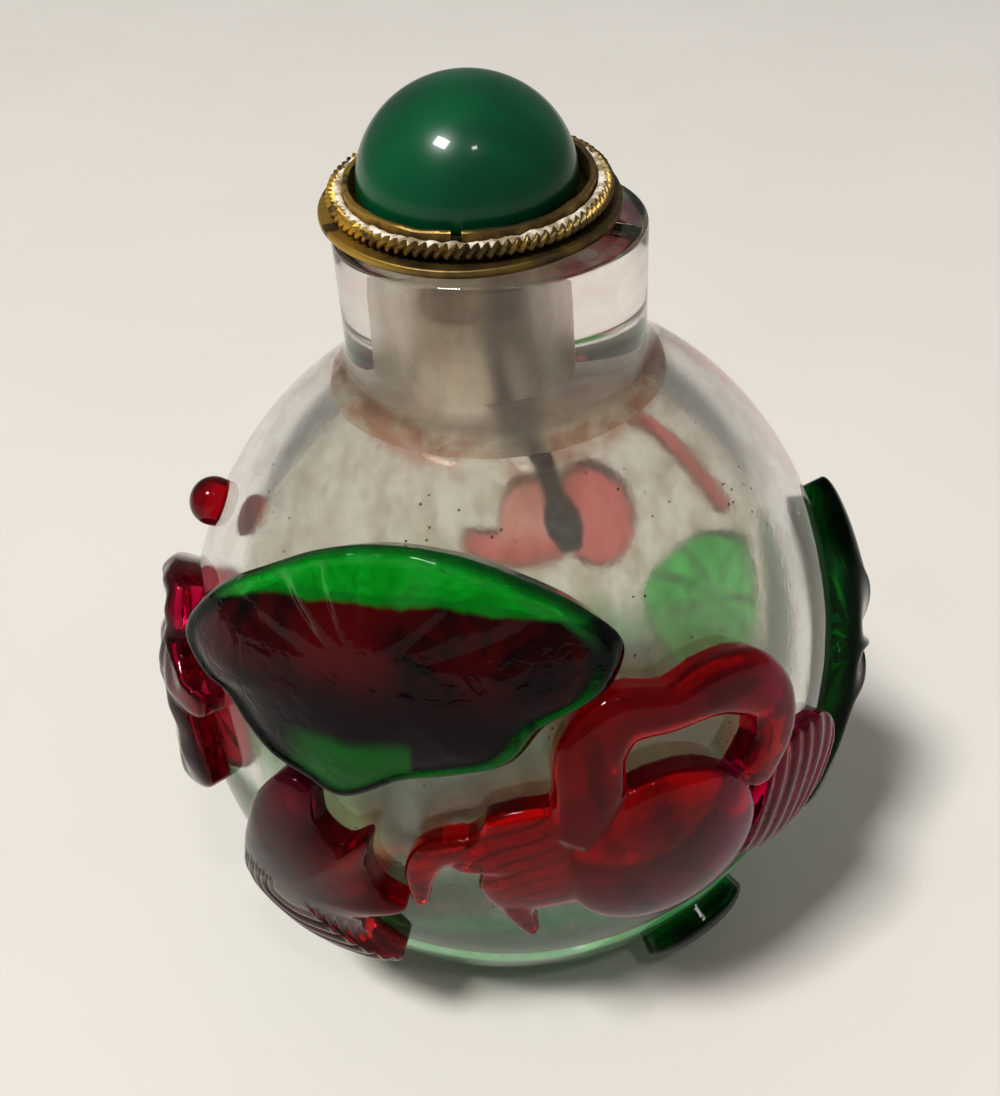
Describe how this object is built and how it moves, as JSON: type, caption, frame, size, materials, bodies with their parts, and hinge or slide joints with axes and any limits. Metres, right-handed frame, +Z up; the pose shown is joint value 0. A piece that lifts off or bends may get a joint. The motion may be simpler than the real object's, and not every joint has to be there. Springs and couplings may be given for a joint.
{
  "type": "overlay glass snuff bottle",
  "caption": "Small flattened clear glass bottle with carved ruby and green overlay, and a domed stone stopper in a brass mount.",
  "frame": {"origin": "on the table under the bottle's axis, in the plane that the foot ring rests on", "axes": "+Z up through the neck, -Y towards the front with the lotus leaf and the bird, +X to the right of the front"},
  "size_m": [0.0499, 0.0378, 0.0665],
  "materials": {
    "clear_glass": "clear with a smoky frosted inner wall, polished outside",
    "green_glass": "polished translucent green glass, nearly black where thick",
    "leaf_glass": "polished green glass over ruby, dark red where the ruby lies behind",
    "ruby_glass": "polished translucent ruby glass, darker where thick",
    "green_stone": "polished dark green stone or glass cabochon",
    "gilt_brass": "worn gilt brass with brown tarnish and white polish residue",
    "cork": "matt brown cork",
    "spoon_bone": "dark stained bone, matt"
  },
  "bodies": {
    "root": {"bottle": "clear_glass", "foot_ring": "green_glass", "lotus_leaf_front": "leaf_glass", "ruby_bird": "ruby_glass", "ruby_ribbed_leaf": "ruby_glass", "ruby_flower_left": "ruby_glass", "ruby_bud": "ruby_glass", "lotus_leaf_right": "green_glass", "green_leaf_by_foot": "green_glass", "ruby_flower_back": "ruby_glass", "ruby_slim_petal_back": "ruby_glass", "green_leaf_back": "green_glass", "green_leaf_back_left": "green_glass", "stopper_disc": "gilt_brass", "stopper_strip": "gilt_brass", "stopper_twisted_wire": "gilt_brass", "stopper_dome": "green_stone", "stopper_cork": "cork", "stopper_spoon": "spoon_bone"}
  },
  "joints": []
}
